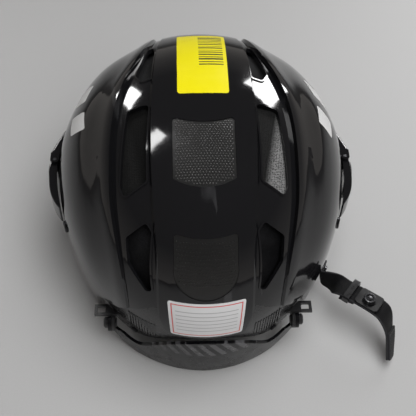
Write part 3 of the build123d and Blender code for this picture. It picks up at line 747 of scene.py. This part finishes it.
# first, last and the anchors are degrees about the line from ear to ear
meshValues = {"near": 0.0325, "far": 0.0585, "columns": 16, "rows": 46, "first": 97.0, "last": 137.0,
              "anchors": ((97.0, "crown_foam"), (109.0, "crown_foam"),
                          (128.0, "rear_foam"), (137.0, "rear_foam")),
              "lift": 0.0002, "thick": 0.0003, "reach": 0.2}


def meshAnchors(x, values):
    # how far the foam's face lies from the line between the ears, at a few angles
    found = []
    for angle, node in values["anchors"]:
        way = Vector((0, cos(radians(angle)), sin(radians(angle))))
        middle = Vector((x, earLine.y, earLine.z))
        place, _ = surfaceHit(nodeOf(node), middle + way * values["reach"], -way)
        if place is not None:
            found.append((angle, (place - middle).length))
    return found


def throughAnchors(anchors, angle):
    # the one smooth curve through all the anchors
    total = 0.0
    for i, (spot, value) in enumerate(anchors):
        weight = 1.0
        for j, (other, _) in enumerate(anchors):
            if i != j:
                weight *= (angle - other) / (spot - other)
        total += weight * value
    return total


def ventCloth(name, side, values, finish):
    # knitted mesh behind a middle vent, lying on the foam and bridging the gap between its blocks
    cloth = newGrid(name, values["columns"], values["rows"])
    known = {}
    for point in cloth.data.vertices:
        share = point.co.x + 0.5
        x = side * (values["near"] + (values["far"] - values["near"]) * share)
        if x not in known:
            known[x] = meshAnchors(x, values)
        angle = values["first"] + (values["last"] - values["first"]) * (point.co.y + 0.5)
        reach = throughAnchors(known[x], angle) + values["lift"]
        point.co = (x, earLine.y + reach * cos(radians(angle)), earLine.z + reach * sin(radians(angle)))
    area = sum(face.area for face in cloth.data.polygons)
    edge = [point.co for point in cloth.data.vertices if abs(abs(point.co.x) - values["near"]) < 0.00001]
    long = sum((after - before).length for before, after in zip(edge, edge[1:]))
    wide = area / long
    applyModifier(cloth, "SOLIDIFY", thickness=values["thick"], offset=-1.0)
    smoothBy(cloth, 50)
    paint(cloth, finish)
    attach(cloth, "helmet")
    return round(wide, 4), round(long, 4)


# one mesh in two tones: the right copy is painted light, and the left copy is painted nearly black as
# painted shade
print("vent mesh", ventCloth("rightVentMesh", 1, meshValues, meshFinish("meshPaintedLit", 0.24)),
      ventCloth("leftVentMesh", -1, meshValues, meshFinish("meshPaintedShade", 0.012)))
for node in ("front_foam", "crown_foam", "right_side_foam", "left_side_foam"):
    foamBlock(node, "helmet", foamValues)
foamBlock("rear_foam", "rear_carrier", foamValues)
for node in ("brow_pad", "crown_pad", "right_temple_pad", "left_temple_pad"):
    softPad(node, "helmet", padValues)
softPad("rear_pad", "rear_carrier", padValues)
softPad("cradle_pad", "cradle", padValues)
print("foam and pads made")


# the chin strap: one length of webbing with a sewn fold at its root and a hem at its end

# tab is the root's share of the width, and tabEnd where along the strap it is full
strapValues = {"wide": 0.016, "thick": 0.0017, "round": 0.00045, "step": 0.0012, "cells": 10,
               "cup": 0.00025, "tab": 0.58, "tabEnd": 0.22}
strapRoute = ((0.0989, -0.0415, 0.0207), (0.0958, -0.0495, 0.0235), (0.0928, -0.0575, 0.0262),
              (0.0981, -0.0616, 0.0286), (0.1028, -0.0668, 0.0319), (0.1079, -0.0711, 0.0342),
              (0.1336, -0.091, 0.0352), (0.1386, -0.0961, 0.0311), (0.1417, -0.1036, 0.0207),
              (0.1419, -0.1123, 0.0098), (0.1417, -0.1177, 0.0049))
# how far along, and which way the webbing's width lies there
strapTurns = ((0.0, (-0.233, -0.236, -0.943)), (0.07, (-0.233, -0.236, -0.943)),
              (0.14, (0.121, -0.367, -0.922)), (0.2, (0.121, -0.367, -0.922)),
              (0.37, (-0.613, -0.79, 0.0)), (0.66, (-0.613, -0.79, 0.0)),
              (0.83, (-0.45, -0.7, 0.47)), (1.0, (-0.4, -0.58, 0.68)))
strapFold = {"first": 0.36, "last": 0.47, "lift": -0.0018, "splay": 0.002}
strapHem = {"first": 0.8, "last": 1.0, "lift": 0.0018, "splay": 0.0}


def smoothLine(name, route, pieces=12):
    # the points of the smooth line that the route's places steer
    data = bpy.data.curves.new(name, "CURVE")
    data.dimensions = "3D"
    data.resolution_u = pieces
    line = data.splines.new("NURBS")
    line.points.add(len(route) - 1)
    for point, place in zip(line.points, route):
        point.co = (*place, 1)
    line.order_u = 3
    line.use_endpoint_u = True
    holder = bpy.data.objects.new(name, data)
    bpy.context.scene.collection.objects.link(holder)
    points = [point.co.copy() for point in bpy.data.meshes.new_from_object(holder).vertices]
    bpy.data.objects.remove(holder)
    return points


def evenSteps(points, step):
    # the same line in equal steps
    marks = [0.0]
    for before, after in zip(points, points[1:]):
        marks.append(marks[-1] + (after - before).length)
    count, found, k = round(marks[-1] / step), [], 0
    for i in range(count + 1):
        along = marks[-1] * i / count
        while k < len(points) - 2 and marks[k + 1] < along:
            k += 1
        found.append(points[k].lerp(points[k + 1], (along - marks[k]) / (marks[k + 1] - marks[k])))
    return found, marks[-1]


def stripFrames(centres, turns):
    # at each centre the way ahead, the way across and the way up
    last, found = len(centres) - 1, []
    for i, centre in enumerate(centres):
        ahead = (centres[min(i + 1, last)] - centres[max(i - 1, 0)]).normalized()
        share, k = i / last, 0
        while k < len(turns) - 2 and turns[k + 1][0] < share:
            k += 1
        (low, before), (high, after) = turns[k], turns[k + 1]
        blend = min(max((share - low) / (high - low), 0.0), 1.0)
        across = Vector(before).lerp(Vector(after), blend * blend * (3 - 2 * blend))
        across = (across - ahead * across.dot(ahead)).normalized()
        found.append((centre, ahead, across, across.cross(ahead)))
    return found


def layStrip(name, frames, values, first=0.0, last=1.0, lift=0.0, splay=0.0):
    # a flat strip along part of the line, its map in step with the whole length
    top = len(frames) - 1
    part = frames[round(first * top):round(last * top) + 1]
    rows = len(part) - 1
    strip = newGrid(name, values["cells"], rows)
    for point in strip.data.vertices:
        share = point.co.y + 0.5
        centre, _, across, up = part[round(share * rows)]
        along = min((first + share * (last - first)) / values["tabEnd"], 1.0)
        wide = values["wide"] * (values["tab"] + (1 - values["tab"]) * along * along)
        side = point.co.x * wide + splay * (1 - share)
        sag = values["cup"] * (2 * point.co.x) ** 2
        point.co = centre + across * side + up * (lift - sag)
    for spot in strip.data.uv_layers[0].data:
        spot.uv.y = first + spot.uv.y * (last - first)
    applyModifier(strip, "SOLIDIFY", thickness=values["thick"], offset=0.0)
    applyModifier(strip, "BEVEL", width=values["round"], segments=2, limit_method="ANGLE",
                  angle_limit=radians(60))
    smoothBy(strip, 45)
    return strip


# setBack is a share of the strap's length; across is how many stitches lie to each side of the middle
stitchValues = {"long": 0.0019, "thick": 0.00028, "sides": 8, "pitch": 0.0027, "inset": 0.0014,
                "setBack": 0.012, "across": 2}


def oneStitch(values):
    clearPick()
    bpy.ops.mesh.primitive_cylinder_add(vertices=values["sides"], radius=values["thick"],
                                        depth=values["long"], end_fill_type="NGON")
    stitch = bpy.context.object
    editAll(stitch, (bpy.ops.mesh.bevel, {"offset": values["thick"] * 0.6, "segments": 2}),
            (bpy.ops.mesh.subdivide, {"number_cuts": 1}))
    for point in stitch.data.vertices:
        # pulled down into the cloth at both ends
        point.co.y -= values["thick"] * (2 * point.co.z / values["long"]) ** 2
    return stitch


def sewRows(name, frames, strap, fold, values):
    # two rows along a fold and one across each of its ends, on the side it lies on
    top, stitch, found = len(frames) - 1, oneStitch(values), []
    side = 1 if fold["lift"] > 0 else -1
    height = fold["lift"] + side * strap["thick"] / 2
    half = strap["wide"] / 2 - values["inset"]
    places = []
    span = (fold["last"] - fold["first"]) * top * strap["step"]
    for i in range(1, int(span / values["pitch"])):
        row = fold["first"] * top + i * values["pitch"] / strap["step"]
        places += [(row, half, False), (row, -half, False)]
    for share in (fold["first"] + values["setBack"], fold["last"] - values["setBack"]):
        for i in range(-values["across"], values["across"] + 1):
            places.append((share * top, i * values["pitch"], True))
    for row, aside, turned in places:
        centre, ahead, across, up = frames[min(round(row), top)]
        shift = fold["splay"] * (1 - (row / top - fold["first"]) / (fold["last"] - fold["first"]))
        sag = strap["cup"] * (2 * aside / strap["wide"]) ** 2
        spot = centre + across * (aside + shift) + up * (height - sag)
        long = across if turned else ahead
        wide = long.cross(up * side)
        turn = Matrix((-wide, up * side, long)).transposed().to_4x4()
        found.append(placeCopy(stitch, name, Matrix.Translation(spot) @ turn))
    bpy.data.objects.remove(stitch)
    rows = joinPieces(found, name)
    bpy.ops.object.transform_apply(location=True, rotation=True, scale=True)
    bpy.ops.object.shade_smooth()
    return rows


# rim: how far out from the middle and how high, from the edge inward
snapValues = {"along": 0.5, "tall": 0.0013, "sides": 48,
              "rim": [(0.0046, 0.0), (0.0046, 0.0008), (0.0042, 0.0012), (0.0036, 0.0013),
                      (0.003, 0.0011), (0.0027, 0.0006), (0.0024, 0.0006), (0.0022, 0.0009),
                      (0.0014, 0.0012), (0.0006, 0.0013)]}


def snapButton(values, up):
    # the snap's cap, turned: a rolled rim, a groove and a low dome
    low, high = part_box("snap_cap")
    middle = (Vector(low) + Vector(high)) / 2
    clearPick()
    bpy.ops.mesh.primitive_circle_add(vertices=values["sides"], radius=values["rim"][0][0],
                                      fill_type="NOTHING")
    button = bpy.context.object
    button.name = button.data.name = "snapButton"
    steps = []
    for (before, drop), (after, rise) in zip(values["rim"], values["rim"][1:]):
        steps.append((bpy.ops.mesh.extrude_region_move,
                      {"TRANSFORM_OT_translate": {"value": (0, 0, rise - drop)}}))
        steps.append((bpy.ops.transform.resize,
                      {"value": (after / before, after / before, 1), "center_override": (0, 0, 0)}))
    editAll(button, *steps, (bpy.ops.mesh.edge_face_add, {}))
    editAll(button, (bpy.ops.mesh.normals_make_consistent, {"inside": False}))
    up = up.normalized()
    button.matrix_world = Matrix.Translation(middle - up * values["tall"] / 2) @ standAlong(up)
    pick(button)
    bpy.ops.object.transform_apply(location=True, rotation=True, scale=True)
    bpy.ops.object.shade_smooth_by_angle(angle=radians(35))
    return button


strapLine, strapLength = evenSteps(smoothLine("strapLine", strapRoute), strapValues["step"])
strapFrames = stripFrames(strapLine, strapTurns)
webbing = joinPieces([layStrip("chinWebbing", strapFrames, strapValues),
                      layStrip("rootFold", strapFrames, strapValues, **strapFold),
                      layStrip("endHem", strapFrames, strapValues, **strapHem)], "chinWebbing")
paint(webbing, finishes["webbing"])
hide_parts("strap_root", "strap_run", "strap_tail")
thread = threadFinish()
seams = [sewRows("foldStitches", strapFrames, strapValues, strapFold, stitchValues),
         sewRows("hemStitches", strapFrames, strapValues, strapHem, stitchValues)]
for seam in seams:
    paint(seam, thread)
snapFrame = strapFrames[round(snapValues["along"] * (len(strapFrames) - 1))]
button = snapButton(snapValues, snapFrame[3])
paint(button, finishes["steel"])
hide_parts("snap_cap")
for piece in (webbing, button, *seams):
    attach(piece, "chin_strap")
fitting = fittingFinish()
for node in ("strap_slider", "snap_plate"):
    paint(nodeOf(node), fitting)
print("strap made", round(strapLength, 4))


# the floor, lamps and camera

stageValues = {"floorSize": 40.0, "floorDrop": 0.0005, "floorShade": 0.5, "speckle": 900.0,
               "horizon": (0.45, 0.425, 0.4), "zenith": (0.085, 0.08, 0.078), "zenithFrom": 0.55}


def makeStage():
    clearPick()
    bpy.ops.mesh.primitive_plane_add(size=stageValues["floorSize"],
                                     location=(0, 0, -stageValues["floorDrop"]))
    floor = bpy.context.object
    floor.name = "floor"
    shade = stageValues["floorShade"]
    finish = Finish("tableTop", (shade,) * 3, 0.6)
    speckle = finish.texture("ShaderNodeTexNoise", finish.places,
                             {"Scale": stageValues["speckle"], "Detail": 2.0}, output="Fac")
    finish.tint(speckle, (shade * 0.94,) * 3, (shade * 1.04,) * 3)
    paint(floor, finish.material)
    world = bpy.context.scene.world or bpy.data.worlds.new("room")
    bpy.context.scene.world = world
    world.use_nodes = True
    tree = world.node_tree
    spot = tree.nodes.new("ShaderNodeTexCoord")
    split = tree.nodes.new("ShaderNodeSeparateXYZ")
    rise = gradeNode(tree, 0.0, stageValues["zenithFrom"])
    blend = addNode(tree, "ShaderNodeMix", {"data_type": "RGBA"})
    blend.inputs["A"].default_value = (*stageValues["horizon"], 1)
    blend.inputs["B"].default_value = (*stageValues["zenith"], 1)
    tree.links.new(spot.outputs["Generated"], split.inputs["Vector"])
    tree.links.new(split.outputs["Z"], rise.inputs["Value"])
    tree.links.new(rise.outputs["Result"], blend.inputs["Factor"])
    tree.links.new(blend.outputs["Result"], tree.nodes["Background"].inputs["Color"])


lampAim = 0.1   # how high above the ground the lamps point
lamps = {
    # azimuth from ahead, elevation, distance, width, height and power;
    # with True it is seen in the gloss alone, with False it lights without being seen there
    "leftWindow": (-35.0, 31.0, 2.0, 0.34, 0.45, 11.0, True),
    "rightWindow": (31.0, 28.0, 2.0, 0.62, 0.8, 34.0, True),
    "smallPanel": (-48.0, 62.0, 1.8, 0.42, 0.2, 5.0, True),
    "softOverhead": (105.0, 76.0, 1.7, 1.4, 1.2, 22.0, False),
    "rearFill": (150.0, 50.0, 1.6, 1.0, 0.8, 7.0, False),
}


def makeLamps():
    for name, (azimuth, elevation, distance, wide, tall, power, glossOnly) in lamps.items():
        data = bpy.data.lights.new(name, "AREA")
        data.shape = "RECTANGLE"
        data.size, data.size_y, data.energy = wide, tall, power
        lamp = bpy.data.objects.new(name, data)
        bpy.context.scene.collection.objects.link(lamp)
        flat = cos(radians(elevation)) * distance
        lamp.location = (sin(radians(azimuth)) * flat, cos(radians(azimuth)) * flat,
                         sin(radians(elevation)) * distance + lampAim)
        toward = Vector((0, 0, lampAim)) - lamp.location
        lamp.rotation_euler = toward.to_track_quat("-Z", "Y").to_euler()
        lamp.visible_glossy, lamp.visible_diffuse = glossOnly, not glossOnly


cameraValues = {"lens": 70.0, "sensor": 36.0, "place": (-0.0162, -0.3975, 0.5647),
                "turn": (37.3267, -1.0795, -1.7846)}   # degrees


def makeCamera():
    data = bpy.data.cameras.new("camera")
    data.lens, data.sensor_width = cameraValues["lens"], cameraValues["sensor"]
    camera = bpy.data.objects.new("camera", data)
    camera.location = cameraValues["place"]
    camera.rotation_euler = [radians(angle) for angle in cameraValues["turn"]]
    bpy.context.scene.collection.objects.link(camera)
    bpy.context.scene.camera = camera


makeStage()
makeLamps()
makeCamera()
bpy.context.scene.view_settings.view_transform = "Standard"
print("stage set")
